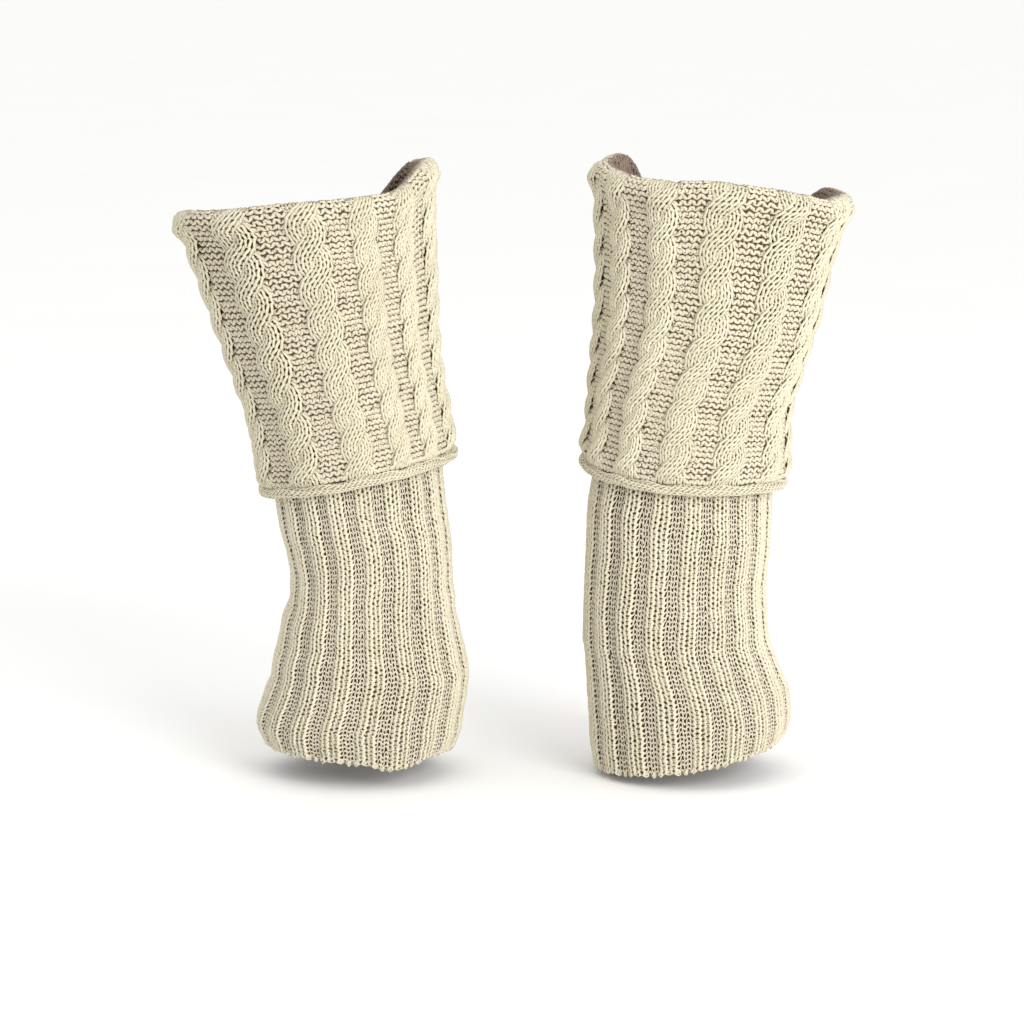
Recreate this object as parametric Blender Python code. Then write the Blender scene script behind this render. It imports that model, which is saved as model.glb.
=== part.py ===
"""Pair of hand-knitted leg warmers, kept in the filled-out form in which they are worn.

Each warmer is a two-by-two ribbed tube. Its cabled top is folded outwards and hangs down
over the rib as a long cuff, which ends in a rolled edge. Everything is hollow.
Lengths are in millimetres and angles in degrees until place() turns them into metres.
"""
from collections import namedtuple
import math

import bmesh
import bpy
import numpy as np

MM = 0.001

# The legs hold the pair at the frame's origin, this far above the left cast-on edge
ORIGIN_HEIGHT = 180.0
SEAM_GAP = 0.3
# Along the axis, so that the lip stays a seam's gap clear where the rim climbs to its ears
LIP_GAP = 0.8

# Ribbed tube: two knit and two purl stitches make one rib
RIBS_ROUND = 18
POINTS_PER_RIB = 4
RIB_RAISE = 2.0
TUBE_WALL = 2.6
TUBE_ROWS = 12
TUBE_INSIDE_ROWS = 10

# Cabled cuff: six stitches of cable and four of purl make one repeat
CABLES_ROUND = 12
CABLE_SHARE = 0.6
CABLE_RAISE = 4.2
CABLE_OVER_RAISE = 1.4
# How steeply a strand falls away from its middle, for its place across the cable squared
CABLE_ROUNDING = 26.0
CABLE_EDGE_POWER = 6
# Places across one cable, and across the purl beside it, where the outer points lie
IN_CABLE = [0.03, 0.34, 0.66, 0.97]
IN_PURL = [0.3, 0.7]
CROSSING_HEIGHT = 18.9
ROWS_PER_CROSSING = 3
CUFF_WALL = 3.2
CUFF_INSIDE_ROWS = 5
CABLE_FADE = 9.0
CABLE_LEFT_AT_FOLD = 0.3
FOLD_FADE = 12.0

# Turned fold at the top: a half-round roll whose inner side ends in a short lip
FOLD_RADIUS = 6.1
FOLD_STEPS = 5
INNER_FOLD_STEPS = 3
LIP_DROP = 8.0
LIFT_REACH = 75.0
FOOT_LIFT_REACH = 45.0

# The hidden top of the tube: its ribs lie this far inside the cuff's cables
TUBE_BEHIND_CUFF = 8.7
TUBE_CLEAR_ABOVE_HEM = 22.0
# The ribs run up into the cables: the cuff's columns start this many before the front
COLUMNS_BEFORE_FRONT = 2

# Rolled edge below the cuff
ROLL_RADIUS = 3.7
ROLL_STEPS = 6
ROLL_POINTS_ROUND = 42
ROLL_CENTRE_IN = 4.6

KNIT_CREAM = (0.80, 0.73, 0.55, 1.0)
CABLE_CREAM = (0.82, 0.76, 0.58, 1.0)
EDGE_CREAM = (0.84, 0.78, 0.61, 1.0)

# One row is one ring of the form, seen from the front: its middle, its half sizes over the
# knit, and how far its right side is tipped up
Ring = namedtuple("Ring", "height middle_x middle_y half_width half_depth tip")
# One row lifts (or drops) an edge at one angle, counted from the front towards +X
Lift = namedtuple("Lift", "angle rise")
# One row turns the cables at one height, since the cuff sits a little twisted
Twist = namedtuple("Twist", "height turn")
Warmer = namedtuple("Warmer", "name tube cuff rim foot twists spread_cables spread_ribs")

LEFT = Warmer(
    name="left",
    tube=[
        Ring(0.0, -93.0, 0.0, 58.0, 57.0, 0.0),
        Ring(14.0, -93.4, 0.0, 62.6, 58.5, 0.0),
        Ring(34.0, -89.4, 0.0, 61.5, 58.0, 0.0),
        Ring(52.0, -86.4, 0.0, 59.6, 56.5, 0.0),
        Ring(70.0, -86.4, 0.0, 55.4, 54.0, 1.0),
        Ring(89.0, -85.8, 0.0, 51.6, 52.0, 2.0),
        Ring(107.0, -85.5, 0.0, 49.2, 51.0, 3.5),
        Ring(125.0, -87.0, 0.0, 49.8, 51.0, 6.0),
        Ring(144.0, -90.6, 0.0, 50.8, 52.0, 9.0),
        Ring(161.0, -92.6, 0.0, 51.5, 52.5, 11.0),
    ],
    cuff=[
        Ring(169.0, -93.0, 0.0, 62.5, 62.0, 11.0),
        Ring(187.0, -95.4, 0.0, 61.4, 62.0, 11.0),
        Ring(211.0, -99.9, 0.0, 61.5, 62.5, 11.0),
        Ring(242.0, -106.5, 0.0, 64.5, 63.5, 11.0),
        Ring(272.0, -111.7, 0.0, 69.5, 65.5, 11.0),
        Ring(303.0, -117.2, 0.0, 74.8, 68.0, 11.0),
        Ring(322.0, -120.6, 0.0, 78.4, 69.5, 11.0),
        Ring(335.0, -123.0, 0.0, 80.2, 70.0, 11.0),
    ],
    rim=[
        Lift(-160.0, -16.0),
        Lift(-135.0, -9.0),
        Lift(-110.0, -0.5),
        Lift(-88.0, 3.0),
        Lift(-66.0, 4.8),
        Lift(-42.0, 3.2),
        Lift(-10.0, 1.0),
        Lift(18.0, -3.2),
        Lift(36.0, -5.3),
        Lift(44.0, -5.8),
        Lift(51.0, -4.0),
        Lift(57.0, -1.2),
        Lift(64.0, 2.2),
        Lift(72.0, 4.8),
        Lift(80.0, 6.8),
        Lift(92.0, 6.6),
        Lift(104.0, 5.3),
        Lift(116.0, 5.2),
        Lift(125.0, 2.8),
        Lift(136.0, -4.4),
        Lift(149.0, -14.5),
        Lift(158.0, -17.0),
        Lift(180.0, -18.0),
    ],
    foot=[
        Lift(-150.0, 0.0),
        Lift(-66.0, 4.0),
        Lift(-30.0, 3.0),
        Lift(0.0, 1.5),
        Lift(25.0, -3.0),
        Lift(55.0, 2.0),
        Lift(90.0, 1.0),
    ],
    twists=[
        Twist(169.0, 5.0),
        Twist(198.0, 4.8),
        Twist(238.0, 3.0),
        Twist(304.0, 0.8),
        Twist(335.0, 0.8),
    ],
    spread_cables=0.28,
    spread_ribs=0.0,
)

RIGHT = Warmer(
    name="right",
    tube=[
        Ring(-1.0, 107.0, 0.0, 59.0, 57.0, 6.5),
        Ring(14.0, 107.4, 0.0, 61.4, 58.5, 4.0),
        Ring(34.0, 106.2, 0.0, 61.2, 58.0, 2.0),
        Ring(52.0, 102.3, 0.0, 58.6, 57.0, 0.0),
        Ring(70.0, 98.4, 0.0, 56.4, 55.5, 0.0),
        Ring(89.0, 97.8, 0.0, 55.3, 54.5, 0.0),
        Ring(107.0, 98.1, 0.0, 55.0, 54.0, -1.0),
        Ring(125.0, 99.3, 0.0, 55.4, 54.0, -2.5),
        Ring(144.0, 100.2, 0.0, 55.6, 54.0, -4.0),
        Ring(159.0, 101.4, 0.0, 54.4, 53.5, -6.0),
    ],
    cuff=[
        Ring(169.0, 102.0, 0.0, 64.4, 62.5, -6.0),
        Ring(187.0, 104.3, 0.0, 61.8, 62.0, -7.0),
        Ring(211.0, 105.6, 0.0, 61.2, 62.5, -8.0),
        Ring(242.0, 111.0, 0.0, 64.2, 63.5, -8.6),
        Ring(272.0, 116.1, 0.0, 68.0, 65.5, -8.6),
        Ring(303.0, 119.4, 0.0, 71.8, 68.0, -8.6),
        Ring(326.0, 122.4, 0.0, 76.0, 69.5, -8.8),
        Ring(340.0, 123.9, 0.0, 78.0, 70.0, -8.8),
    ],
    rim=[
        Lift(-165.0, -14.0),
        Lift(-150.0, -13.0),
        Lift(-141.0, -8.5),
        Lift(-129.0, 4.6),
        Lift(-124.0, 6.6),
        Lift(-114.0, 5.4),
        Lift(-107.0, 2.0),
        Lift(-92.0, 2.2),
        Lift(-80.0, 4.0),
        Lift(-73.0, 3.6),
        Lift(-66.0, 1.4),
        Lift(-50.0, 0.2),
        Lift(-32.0, 0.5),
        Lift(-8.0, 5.2),
        Lift(15.0, 6.0),
        Lift(38.0, 4.8),
        Lift(55.0, 3.0),
        Lift(72.0, 6.0),
        Lift(90.0, 6.0),
        Lift(104.0, 6.3),
        Lift(111.0, 6.7),
        Lift(117.0, 5.4),
        Lift(128.0, -2.2),
        Lift(138.0, -6.0),
        Lift(146.0, -9.0),
        Lift(180.0, -13.5),
    ],
    foot=[
        Lift(-150.0, 0.0),
        Lift(-66.0, -3.5),
        Lift(-25.0, -3.0),
        Lift(10.0, -1.5),
        Lift(45.0, 1.0),
        Lift(75.0, 3.0),
        Lift(110.0, 1.0),
    ],
    twists=[
        Twist(169.0, -10.0),
        Twist(192.0, -8.5),
        Twist(218.0, -6.0),
        Twist(238.0, -2.5),
        Twist(263.0, -0.3),
        Twist(304.0, -1.0),
        Twist(340.0, -1.0),
    ],
    spread_cables=-0.1,
    spread_ribs=0.05,
)


def smooth_between(knots, values, at):
    """A curve through the rows of a table that never swings past them."""
    knots = np.asarray(knots, float)
    values = np.asarray(values, float)
    run = np.diff(knots)
    slope = np.diff(values) / run
    tangent = np.zeros(len(knots))
    tangent[0] = slope[0]
    tangent[-1] = slope[-1]
    for row in range(1, len(knots) - 1):
        if slope[row - 1] * slope[row] > 0.0:
            tangent[row] = 2.0 * slope[row - 1] * slope[row] / (slope[row - 1] + slope[row])
    at = np.clip(at, knots[0], knots[-1])
    row = int(np.clip(np.searchsorted(knots, at) - 1, 0, len(run) - 1))
    t = (at - knots[row]) / run[row]
    return float(
        (2.0 * t**3 - 3.0 * t**2 + 1.0) * values[row]
        + (t**3 - 2.0 * t**2 + t) * run[row] * tangent[row]
        + (3.0 * t**2 - 2.0 * t**3) * values[row + 1]
        + (t**3 - t**2) * run[row] * tangent[row + 1]
    )


def ring_at(rings, height):
    """The form's ring at any height, read smoothly from its table."""
    heights = [ring.height for ring in rings]
    sizes = [smooth_between(heights, [ring[col] for ring in rings], height) for col in range(1, 6)]
    return Ring(height, *sizes)


def edge_lift(lifts, angle):
    """How far an edge stands up at one angle, read smoothly all round."""
    angles = []
    rises = []
    for turn in (-360.0, 0.0, 360.0):
        for lift in lifts:
            angles.append(lift.angle + turn)
            rises.append(lift.rise)
    return smooth_between(angles, rises, angle)


def place(rings, height, angle, outwards=0.0, rise=0.0):
    """A point on the form, moved out from it and along its own axis, in metres."""
    ring = ring_at(rings, height)
    turn = math.radians(angle)
    tip = math.radians(ring.tip)
    side = math.sin(turn)
    front = math.cos(turn)
    reach = math.hypot(side / ring.half_width, front / ring.half_depth)
    across = ring.half_width * side + outwards * side / ring.half_width / reach
    back = -ring.half_depth * front - outwards * front / ring.half_depth / reach
    return (
        (ring.middle_x + across * math.cos(tip) - rise * math.sin(tip)) * MM,
        (ring.middle_y + back) * MM,
        (height + across * math.sin(tip) + rise * math.cos(tip) - ORIGIN_HEIGHT) * MM,
    )


def spread(turn_share, amount):
    """The angle of a stitch column, with the columns closer together beside the inner leg."""
    turn = 2.0 * math.pi * turn_share
    return math.degrees(turn - amount * math.sin(turn) ** 2)


def cable_angle(warmer, share, height):
    """The angle of a column of the cuff, which turns a little with the height."""
    heights = [twist.height for twist in warmer.twists]
    turns = [twist.turn for twist in warmer.twists]
    return spread(share, warmer.spread_cables) + smooth_between(heights, turns, height)


def ease(share):
    share = min(max(share, 0.0), 1.0)
    return share * share * (3.0 - 2.0 * share)


def cable_relief(across, crossing):
    """Height of a rope cable: the left strand passes over the right one at each crossing."""
    swing = 0.5 * ease(crossing % 1.0)
    over_bulge = math.sin(math.pi * (crossing % 1.0))
    over_height = CABLE_RAISE + CABLE_OVER_RAISE * over_bulge
    under_height = CABLE_RAISE - CABLE_OVER_RAISE * over_bulge
    over = over_height - CABLE_ROUNDING * (across - 0.25 - swing) ** 2
    under = under_height - CABLE_ROUNDING * (across - 0.75 + swing) ** 2
    edge = 1.0 - abs(2.0 * across - 1.0) ** CABLE_EDGE_POWER
    return max(over, under, 0.0) * edge


def rib_columns():
    """Each column of a tube's outer points: its share of the round and its height."""
    columns = []
    for rib in range(RIBS_ROUND):
        for point in range(POINTS_PER_RIB):
            share = (rib + (point + 0.5) / POINTS_PER_RIB) / RIBS_ROUND
            columns.append((share, RIB_RAISE if point < POINTS_PER_RIB / 2 else 0.0))
    return columns


def cable_columns():
    """Each column of a cuff's outer points: its share of the round and place in its cable."""
    columns = []
    for cable in range(CABLES_ROUND):
        start = cable - CABLE_SHARE / 2.0
        for place_across in IN_CABLE:
            columns.append(((start + CABLE_SHARE * place_across) / CABLES_ROUND, place_across))
        for place_across in IN_PURL:
            purl = start + CABLE_SHARE + (1.0 - CABLE_SHARE) * place_across
            columns.append((purl / CABLES_ROUND, None))
    return columns


def closed_tube(name, outer_loops, inner_loops, colour, turn_loops=()):
    """One closed body from loops of points: down the outside in full, up the inside by halves."""
    mesh = bmesh.new()
    outer = [[mesh.verts.new(point) for point in loop] for loop in outer_loops]
    inner = [[mesh.verts.new(point) for point in loop] for loop in inner_loops]
    turn = [[mesh.verts.new(point) for point in loop] for loop in turn_loops]
    for loops in (outer, inner, turn + outer[:1] if turn else []):
        for upper, lower in zip(loops, loops[1:]):
            count = len(upper)
            for step in range(count):
                after = (step + 1) % count
                mesh.faces.new((upper[step], lower[step], lower[after], upper[after]))
    join_by_halves(mesh, outer[-1], inner[0])
    join_by_halves(mesh, turn[0] if turn else outer[0], inner[-1], from_inside=True)
    return finish(name, mesh, colour)


def join_by_halves(mesh, full, half, from_inside=False):
    """Close the strip between a loop and one with half as many points."""
    count = len(half)
    for step in range(count):
        first = full[2 * step]
        middle = full[2 * step + 1]
        last = full[(2 * step + 2) % len(full)]
        near = half[step]
        far = half[(step + 1) % count]
        for corners in ((first, near, middle), (near, far, middle), (middle, far, last)):
            mesh.faces.new(tuple(reversed(corners)) if from_inside else corners)


def finish(name, mesh, colour):
    """Turn a mesh into a named object with its own knit material."""
    bmesh.ops.recalc_face_normals(mesh, faces=mesh.faces)
    data = bpy.data.meshes.new(name)
    mesh.to_mesh(data)
    mesh.free()
    material = bpy.data.materials.new(name + "_knit")
    material.use_nodes = True
    shader = material.node_tree.nodes["Principled BSDF"]
    shader.inputs["Base Color"].default_value = colour
    shader.inputs["Roughness"].default_value = 0.95
    shader.inputs["Metallic"].default_value = 0.0
    data.materials.append(material)
    data.shade_smooth()
    data.set_sharp_from_angle(angle=math.radians(50.0))
    piece = bpy.data.objects.new(name, data)
    bpy.context.scene.collection.objects.link(piece)
    return piece


def rim_height(warmer):
    """Height of the fold's centre line, under the top of the roll."""
    return warmer.cuff[-1].height - FOLD_RADIUS


def tube_form(warmer):
    """The tube's rings: its own below the hem, and close behind the cuff above it."""
    rings = list(warmer.tube)
    hem = warmer.cuff[0].height
    for ring in warmer.cuff:
        if ring.height > hem + TUBE_CLEAR_ABOVE_HEM:
            rings.append(ring._replace(
                half_width=ring.half_width - TUBE_BEHIND_CUFF,
                half_depth=ring.half_depth - TUBE_BEHIND_CUFF,
            ))
    return rings


def rise_at(warmer, height, angle):
    """The rim's ears and dips fade away down the cuff, and the foot's up the tube."""
    rim_share = ease((height - rim_height(warmer) + LIFT_REACH) / LIFT_REACH)
    foot_share = 1.0 - ease((height - warmer.tube[0].height) / FOOT_LIFT_REACH)
    return rim_share * edge_lift(warmer.rim, angle) + foot_share * edge_lift(warmer.foot, angle)


def build_tube(warmer):
    """The ribbed tube, from its cast-on edge up to the lip of the fold."""
    form = tube_form(warmer)
    top = rim_height(warmer) - LIP_DROP - LIP_GAP
    bottom = warmer.tube[0].height
    hem = warmer.cuff[0].height
    columns = rib_columns()
    cables = cable_columns()

    def loop_at(height, step, inside):
        loop = []
        meet = ease((height - hem) / (top - hem))
        for column in range(0, len(columns), step):
            share, raised = columns[column]
            rib_angle = spread(share, warmer.spread_ribs)
            turns, column_above = divmod(column + COLUMNS_BEFORE_FRONT, len(cables))
            above = cable_angle(warmer, cables[column_above][0] + turns, height)
            angle = rib_angle + meet * (above - rib_angle)
            out = -TUBE_WALL if inside else raised
            rise = rise_at(warmer, height, angle)
            loop.append(place(form, height, angle, out - RIB_RAISE, rise))
        return loop

    outer = [loop_at(height, 1, False) for height in np.linspace(top, bottom, TUBE_ROWS)]
    inner_top = top - LIP_DROP
    inner_heights = np.linspace(bottom, inner_top, TUBE_INSIDE_ROWS)
    inner = [loop_at(height, 2, True) for height in inner_heights]
    end = [loop_at(top, 1, True)]
    return closed_tube(warmer.name + "_rib_tube", outer, inner, KNIT_CREAM, end)


def build_cuff(warmer):
    """The cabled cuff with the fold at its top, from the inner lip over and down to the hem."""
    form = warmer.cuff
    fold = rim_height(warmer)
    hem = warmer.cuff[0].height
    columns = cable_columns()
    halves = columns[::2]

    def loop_at(height, out, used, crossing=None):
        loop = []
        for share, across in used:
            angle = cable_angle(warmer, share, height)
            raised = 0.0
            if crossing is not None and across is not None:
                below_fold = (fold - height) / CABLE_FADE + CABLE_LEFT_AT_FOLD
                fade = ease((height - hem) / CABLE_FADE) * ease(below_fold)
                raised = fade * cable_relief(across, crossing)
            loop.append(place(form, height, angle, out + raised, rise_at(warmer, height, angle)))
        return loop

    def round_the_fold(radius, steps, first, last):
        loops = []
        for step in range(first, last + 1):
            turn = math.pi * step / steps
            out = -FOLD_RADIUS + radius * math.cos(turn)
            loops.append(loop_at(fold + radius * math.sin(turn), out, columns))
        return loops

    def ground(height):
        return -CABLE_RAISE * ease((fold - height) / FOLD_FADE)

    inner_radius = FOLD_RADIUS - CUFF_WALL
    outer = [loop_at(fold - LIP_DROP, -FOLD_RADIUS - inner_radius, columns)]
    outer.append(loop_at(fold - LIP_DROP, -2.0 * FOLD_RADIUS, columns))
    outer += reversed(round_the_fold(FOLD_RADIUS, FOLD_STEPS, 1, FOLD_STEPS))
    rows = int(round((fold - hem) / CROSSING_HEIGHT * ROWS_PER_CROSSING))
    for height in np.linspace(fold, hem, rows + 1):
        outer.append(loop_at(height, ground(height), columns, (height - hem) / CROSSING_HEIGHT))

    inner = []
    for height in np.linspace(hem, fold - FOLD_FADE / 2.0, CUFF_INSIDE_ROWS):
        inner.append(loop_at(height, ground(height) - CUFF_WALL, halves))
    inside_fold = round_the_fold(inner_radius, INNER_FOLD_STEPS, 0, INNER_FOLD_STEPS)
    return closed_tube(warmer.name + "_cable_cuff", outer, inner, CABLE_CREAM, inside_fold)


def build_edge(warmer):
    """The rolled edge: a soft round bead under the end of the cuff's wall."""
    hem = warmer.cuff[0].height
    half_step = math.pi / ROLL_STEPS
    drop = SEAM_GAP + ROLL_RADIUS * math.cos(half_step)
    mesh = bmesh.new()
    loops = []
    for point in range(ROLL_POINTS_ROUND):
        angle = 360.0 * point / ROLL_POINTS_ROUND
        loop = []
        for step in range(ROLL_STEPS):
            turn = 2.0 * math.pi * step / ROLL_STEPS + half_step
            out = -ROLL_CENTRE_IN + ROLL_RADIUS * math.sin(turn)
            rise = ROLL_RADIUS * math.cos(turn) - drop + rise_at(warmer, hem, angle)
            loop.append(mesh.verts.new(place(warmer.cuff, hem, angle, out, rise)))
        loops.append(loop)
    for point, loop in enumerate(loops):
        following = loops[(point + 1) % ROLL_POINTS_ROUND]
        for step in range(ROLL_STEPS):
            after = (step + 1) % ROLL_STEPS
            mesh.faces.new((loop[step], following[step], following[after], loop[after]))
    return finish(warmer.name + "_rolled_edge", mesh, EDGE_CREAM)


def clear_scene():
    for item in list(bpy.data.objects):
        bpy.data.objects.remove(item, do_unlink=True)


clear_scene()
for one in (LEFT, RIGHT):
    build_tube(one)
    build_cuff(one)
    build_edge(one)
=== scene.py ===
from collections import namedtuple
import math

import bpy
import numpy as np
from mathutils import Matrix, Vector


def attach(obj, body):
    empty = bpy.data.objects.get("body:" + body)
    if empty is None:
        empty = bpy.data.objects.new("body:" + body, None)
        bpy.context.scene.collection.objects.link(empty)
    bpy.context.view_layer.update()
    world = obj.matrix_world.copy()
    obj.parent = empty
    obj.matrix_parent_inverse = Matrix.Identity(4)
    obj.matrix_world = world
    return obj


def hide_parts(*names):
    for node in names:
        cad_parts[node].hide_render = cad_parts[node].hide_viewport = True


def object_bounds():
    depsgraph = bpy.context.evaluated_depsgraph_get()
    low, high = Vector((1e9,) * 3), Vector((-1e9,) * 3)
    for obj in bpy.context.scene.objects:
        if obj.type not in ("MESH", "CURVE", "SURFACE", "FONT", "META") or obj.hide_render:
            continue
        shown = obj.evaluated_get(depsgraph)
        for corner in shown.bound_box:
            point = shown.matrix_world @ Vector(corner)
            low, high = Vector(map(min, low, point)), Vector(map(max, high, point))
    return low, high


# Pair of hand-knitted leg warmers. Each course of knitting is drawn as one strand of wool that
# loops through its neighbours, over a thin shell on the form of the measured solids.
# The shapes' lengths are in millimetres and their angles in degrees, until on_form() turns
# them into metres. The studio is in metres.

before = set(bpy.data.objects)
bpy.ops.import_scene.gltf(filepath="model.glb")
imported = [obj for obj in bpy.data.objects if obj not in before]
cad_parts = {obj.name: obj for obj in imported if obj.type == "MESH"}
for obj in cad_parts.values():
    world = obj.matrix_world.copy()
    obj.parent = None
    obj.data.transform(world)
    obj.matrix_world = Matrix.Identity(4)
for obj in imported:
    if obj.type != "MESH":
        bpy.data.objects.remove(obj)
start_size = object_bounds()
random = np.random.default_rng(7)

MM = 0.001

# Camera, as it stood for the photograph
CAMERA_ELEVATION = 9.5
CAMERA_DISTANCE = 2.2
CAMERA_LENS = 128.9
SENSOR_WIDTH = 36.0
AIM_BELOW_ORIGIN = 0.0354
AIM_LEFT_OF_ORIGIN = 0.0006

# The studio
KEY_SIZE = 1.4
KEY_POWER = 48.0
KEY_PLACE = (1.4, -2.1, 0.9)
FLOOR_SIZE = 240.0
FLOOR_BELOW_FEET = 0.004

# Colours of painted shade on the wool, as picked on a screen: in the purl, in the yarn's
# tucked-back turns, inside the rim, and in the holes
ROSY_PURL_SHADE = "#DED2BE"
RECESS_SHADE = "#B3A27D"
INSIDE_SHADE = "#8B7A6D"
LIGHTER_HOLE_SHADE = "#6E5C41"

# The form: the same measures as the solids
ORIGIN_HEIGHT = 180.0
RIBS_ROUND = 18
RIB_RAISE = 2.0
TUBE_WALL = 2.6
CABLES_ROUND = 12
CABLE_SHARE = 0.6
CABLE_RAISE = 4.2
CABLE_OVER_RAISE = 1.4
CABLE_ROUNDING = 26.0
CABLE_WIDTH = 20.7
CROSSING_HEIGHT = 18.9
CUFF_WALL = 3.2
CABLE_FADE = 9.0
FOLD_FADE = 12.0
FOLD_RADIUS = 6.1
LIP_DROP = 8.0
LIP_GAP = 0.8
LIFT_REACH = 75.0
FOOT_REACH = 45.0
HEM_REACH = 60.0
TUBE_BEHIND_CUFF = 8.7
TUBE_CLEAR_ABOVE_HEM = 22.0
ROLL_RADIUS = 3.7
ROLL_CENTRE_IN = 4.6
# The roll's loops are pushed up into the last course of the cuff
ROLL_OVERLAP = 0.9
SEAM_GAP = 0.3

# The knitting
STITCHES_PER_RIB = 4
RIB_STITCHES_ROUND = RIBS_ROUND * STITCHES_PER_RIB
KNIT_SPREAD = 0.035
CABLE_STITCHES = 3
PURL_STITCHES = 4
CUFF_STITCHES_ROUND = CABLES_ROUND * (2 * CABLE_STITCHES + PURL_STITCHES)
RIB_ROWS_A_METRE = 340
CUFF_ROWS_A_METRE = 320
STRAND_SHARE = 0.56
RIB_YARN = 0.86
CUFF_YARN = 0.76
# The wool is pressed flatter than it is wide where stitches lie side by side
YARN_FLATNESS = 0.62
SHELL_UNDER_YARN = 2.1
FOOT_COURSE = 2.5
HEM_COURSE = 3.4
RIB_COURSES = 61
FIRST_RIB_COURSE = 0.6
CUFF_COURSE = 3.35
FIRST_CUFF_COURSE = 0.2
SPARE_CUFF_COURSE = 0.7
LAST_LOOP_PAST_HEM = 0.6
# The knit columns' yarn lies this much deeper than the crest that they follow
KNIT_SINK = 0.1
# The purl lies this much above the solids' ground, which is under its loops
PURL_UP = 1.4
PURL_HOLLOW = 0.5
# The knit columns rise from the purl with this slope
RIB_SLOPE = 0.8
# The cables at the hem and on the fold: where their fading starts, and what is left
FADE_START_AT_HEM = 0.25
FADE_START_AT_FOLD = 0.4
CABLE_LEFT_ON_FOLD = 0.3
# The strands of a cable lie still for this share of a crossing before and after they swing
CROSSING_PAUSE = 0.1
CROSSING_WAIST = 0.16
# A strand is hidden where its middle is this near to that of the one above it
HIDDEN_BELOW = 0.16
LEAN_STEP = 0.04
# Past the fold's start, in radians: where the painted shade of the inside begins, and how soon
# it is full
INSIDE_START = 1.3
INSIDE_FADE = 0.6
EDGE_COURSES = 116
EDGE_WALES = 5
EDGE_YARN = 0.78
EDGE_LOOPS_IN = 1.03
EDGE_LOOP_DEPTH = 0.8
# The rolled edge's wales climb twice round its bead on their way round the hem, in radians a
# course
EDGE_TWIST = 2.0 * math.pi * 2 / EDGE_COURSES
CAST_ON_YARN = 1.1
CAST_ON_POINTS = 7
# Its wraps: behind the ribs' crest, above the foot, how much of the ribs they follow, and
# how wide they swing each way
CAST_ON_IN = 2.2
CAST_ON_UP = 1.2
CAST_ON_RIB = 0.9
CAST_ON_SWING_OUT = 1.3
CAST_ON_SWING_UP = 0.9
CAST_ON_SHADE = 0.3
SCALLOP = 0.9
SCALLOP_REACH = 14.0
# The rolled edge wavers in quick and slow waves, which sway it and swell it
QUICK_WAVES = 17.0
QUICK_WAVE = 0.8
SLOW_WAVES = 7.0
SLOW_WAVE = 0.7
ROLL_SWELL = 0.3
ROLL_SWAY = 0.5

# How unevenly the loops lie, as standard deviations: in courses, stitches or millimetres
RIB_UNEVEN_UP = 0.09
RIB_UNEVEN_ACROSS = 0.025
RIB_UNEVEN_OUT = 0.08
CABLE_UNEVEN_ALONG = 0.16
PURL_UNEVEN_ALONG = 0.26
EDGE_UNEVEN_UP = 0.06

# The thin shells behind the loops: points round, and rows outside and inside
RIB_SHELL_COLUMNS = 144
RIB_SHELL_OUTER_ROWS = 40
RIB_SHELL_INNER_ROWS = 26
CUFF_SHELL_COLUMNS = 120
CUFF_SHELL_OUTER_ROWS = 44
CUFF_SHELL_INNER_ROWS = 16
FOLD_OUTER_ROWS = 11
FOLD_INNER_ROWS = 9
EDGE_CORE_COLUMNS = 96
EDGE_CORE_ROWS = 8
EDGE_CORE_UNDER_YARN = 1.5
CUFF_SHELL_UNDER_YARN = 1.785
CUFF_SHELL_UNDER_STRAND = 1.2
THINNEST_WALL = 0.45

# How far out a second point is taken, to find which way the fabric faces
OUTWARD_STEP = 0.5

Ring = namedtuple("Ring", "height middle_x middle_y half_width half_depth tip")
Lift = namedtuple("Lift", "angle rise")
Twist = namedtuple("Twist", "height turn")
# A soft trough (or a ridge, with a negative depth): its middle, its reach each way, how far
# it climbs for each degree round, and how deep it is
Crease = namedtuple("Crease", "angle height reach_round reach_up slant depth")
Warmer = namedtuple(
    "Warmer", "name tube cuff rim hem foot creases twists spread_cables spread_ribs phase"
)
# The turns of the yarn in one stitch: across in stitches, up in courses, out in millimetres,
# and how thick the yarn swells there
Turn = namedtuple("Turn", "across up out thick")
# The ends of a cut piece of yarn: how far its tails run past the stitches, as a share of their
# width, and how far out and how thick the tails and the last turn are
Ends = namedtuple("Ends", "past tail_out last_out tail_thick last_thick")
# How far the columns of stitches stray, in degrees, and in what run of height
Stray = namedtuple("Stray", "degrees run")

STRAND_ENDS = Ends(0.06, -2.8, -1.1, 0.6, 0.9)
PURL_ENDS = Ends(0.16, -1.0, 0.2, 0.8, 1.1)
SLOW_STRAY = Stray(0.7, 21.0)
QUICK_STRAY = Stray(0.5, 9.5)
SHORT_STRAY = Stray(0.4, 4.4)
SHORT_STRAY_FADE = 13.0
CUFF_STRAY = 0.6

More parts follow.
